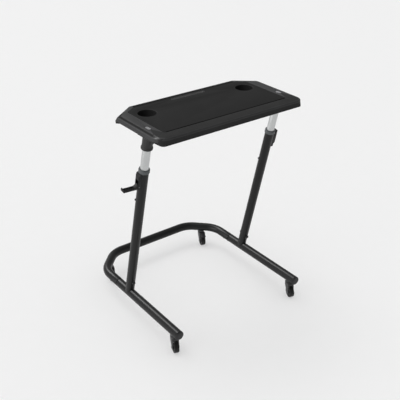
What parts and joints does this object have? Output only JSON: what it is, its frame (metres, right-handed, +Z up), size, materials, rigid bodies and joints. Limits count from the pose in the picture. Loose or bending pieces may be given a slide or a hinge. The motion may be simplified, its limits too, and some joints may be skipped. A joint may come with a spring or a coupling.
{
  "type": "bike trainer desk",
  "caption": "Rolling U-base desk on leaning telescopic posts with cam clamps, swivel casters and a moulded top with bottle wells and a tablet slot.",
  "frame": {"origin": "on the floor, on the middle plane between the side rails, half way between the front of the rails and the back of the rear tube", "axes": "+X to the rider's right along the desk, +Y away from the rider, +Z up"},
  "size_m": [0.7435, 0.6953, 0.9065],
  "materials": {
    "frame_steel": "black powder coat, semi-matt, fine orange peel",
    "silver_tube": "clear anodised silver, satin, drawn lengthwise",
    "collar_plastic": "moulded grey-black nylon",
    "clamp_plastic": "moulded glass-filled nylon, black",
    "socket_plastic": "moulded nylon, black, fine grain",
    "cap_plastic": "moulded polyethylene, black",
    "top_plastic": "moulded ABS, charcoal black, fine grain",
    "mat": "matt black non-slip sheet",
    "silver_inlay": "bare brushed plate, no marks",
    "black_fastener": "black zinc",
    "zinc_steel": "bright zinc",
    "fork_plastic": "moulded nylon, dark grey",
    "wheel_nylon": "moulded nylon, black, satin tread",
    "pedal_plastic": "moulded nylon, black"
  },
  "bodies": {
    "base": {"rear_frame_tube": "frame_steel", "left_side_rail": "frame_steel", "left_rail_cap": "cap_plastic", "left_front_joint_bolt": "black_fastener", "left_rear_joint_bolt": "black_fastener", "left_outer_post": "frame_steel", "left_foot_bolt": "black_fastener", "left_foot_nut": "black_fastener", "left_stop_screw": "black_fastener", "left_guide_collar": "collar_plastic", "left_clamp_housing": "clamp_plastic", "left_clamp_shoe": "cap_plastic", "left_lever_pin": "zinc_steel", "right_side_rail": "frame_steel", "right_rail_cap": "cap_plastic", "right_front_joint_bolt": "black_fastener", "right_rear_joint_bolt": "black_fastener", "right_outer_post": "frame_steel", "right_foot_bolt": "black_fastener", "right_foot_nut": "black_fastener", "right_stop_screw": "black_fastener", "right_guide_collar": "collar_plastic", "right_clamp_housing": "clamp_plastic", "right_clamp_shoe": "cap_plastic", "right_lever_pin": "zinc_steel", "front_left_caster_stem": "zinc_steel", "front_right_caster_stem": "zinc_steel", "rear_left_caster_stem": "zinc_steel", "rear_right_caster_stem": "zinc_steel"},
    "table": {"desk_shell": "top_plastic", "desk_mat": "mat", "left_inner_tube": "silver_tube", "left_glide_plug": "cap_plastic", "left_tube_socket": "socket_plastic", "left_front_socket_screw": "zinc_steel", "left_rear_socket_screw": "zinc_steel", "left_inlay": "silver_inlay", "right_inner_tube": "silver_tube", "right_glide_plug": "cap_plastic", "right_tube_socket": "socket_plastic", "right_front_socket_screw": "zinc_steel", "right_rear_socket_screw": "zinc_steel", "right_inlay": "silver_inlay"},
    "left_lever": {"left_clamp_lever": "clamp_plastic"},
    "right_lever": {"right_clamp_lever": "clamp_plastic"},
    "front_left_swivel": {"front_left_caster_fork": "fork_plastic", "front_left_caster_axle": "zinc_steel"},
    "front_left_wheel": {"front_left_caster_wheel": "wheel_nylon"},
    "front_right_swivel": {"front_right_caster_fork": "fork_plastic", "front_right_caster_axle": "zinc_steel"},
    "front_right_wheel": {"front_right_caster_wheel": "wheel_nylon"},
    "rear_left_swivel": {"rear_left_caster_fork": "fork_plastic", "rear_left_caster_axle": "zinc_steel"},
    "rear_left_wheel": {"rear_left_caster_wheel": "wheel_nylon"},
    "rear_right_swivel": {"rear_right_caster_fork": "fork_plastic", "rear_right_caster_axle": "zinc_steel"},
    "rear_right_wheel": {"rear_right_caster_wheel": "wheel_nylon"},
    "rear_left_brake": {"rear_left_brake_pedal": "pedal_plastic"},
    "rear_right_brake": {"rear_right_brake_pedal": "pedal_plastic"}
  },
  "joints": [
    {"name": "table_slide", "type": "slide", "parent": "base", "child": "table", "axis": [0, -0.2448, 0.9696], "range_m": [-0.07, 0.32]},
    {"name": "left_lever_hinge", "type": "hinge", "parent": "base", "child": "left_lever", "pos_m": [-0.332, -0.11998, 0.66422], "axis": [0, 0.9696, 0.2448], "range_deg": [0, 86]},
    {"name": "right_lever_hinge", "type": "hinge", "parent": "base", "child": "right_lever", "pos_m": [0.332, -0.11998, 0.66422], "axis": [0, 0.9696, 0.2448], "range_deg": [0, 86]},
    {"name": "front_left_swivel_turn", "type": "hinge", "parent": "base", "child": "front_left_swivel", "pos_m": [-0.309, -0.301, 0.0669], "axis": [0, 0, 1], "continuous": true},
    {"name": "front_left_wheel_spin", "type": "hinge", "parent": "front_left_swivel", "child": "front_left_wheel", "pos_m": [-0.31543, -0.32204, 0.025], "axis": [0.9563, -0.2924, 0], "continuous": true},
    {"name": "front_right_swivel_turn", "type": "hinge", "parent": "base", "child": "front_right_swivel", "pos_m": [0.309, -0.301, 0.0669], "axis": [0, 0, 1], "continuous": true},
    {"name": "front_right_wheel_spin", "type": "hinge", "parent": "front_right_swivel", "child": "front_right_wheel", "pos_m": [0.30257, -0.32204, 0.025], "axis": [0.9563, -0.2924, 0], "continuous": true},
    {"name": "rear_left_swivel_turn", "type": "hinge", "parent": "base", "child": "rear_left_swivel", "pos_m": [-0.258, 0.277, 0.0669], "axis": [0, 0, 1], "continuous": true},
    {"name": "rear_left_wheel_spin", "type": "hinge", "parent": "rear_left_swivel", "child": "rear_left_wheel", "pos_m": [-0.26443, 0.25596, 0.025], "axis": [0.9563, -0.2924, 0], "continuous": true},
    {"name": "rear_right_swivel_turn", "type": "hinge", "parent": "base", "child": "rear_right_swivel", "pos_m": [0.258, 0.277, 0.0669], "axis": [0, 0, 1], "continuous": true},
    {"name": "rear_right_wheel_spin", "type": "hinge", "parent": "rear_right_swivel", "child": "rear_right_wheel", "pos_m": [0.25157, 0.25596, 0.025], "axis": [0.9563, -0.2924, 0], "continuous": true},
    {"name": "rear_left_brake_press", "type": "hinge", "parent": "rear_left_swivel", "child": "rear_left_brake", "pos_m": [-0.26385, 0.25787, 0.0599], "axis": [0.9563, -0.2924, 0], "range_deg": [0, 8]},
    {"name": "rear_right_brake_press", "type": "hinge", "parent": "rear_right_swivel", "child": "rear_right_brake", "pos_m": [0.25215, 0.25787, 0.0599], "axis": [0.9563, -0.2924, 0], "range_deg": [0, 8]}
  ]
}
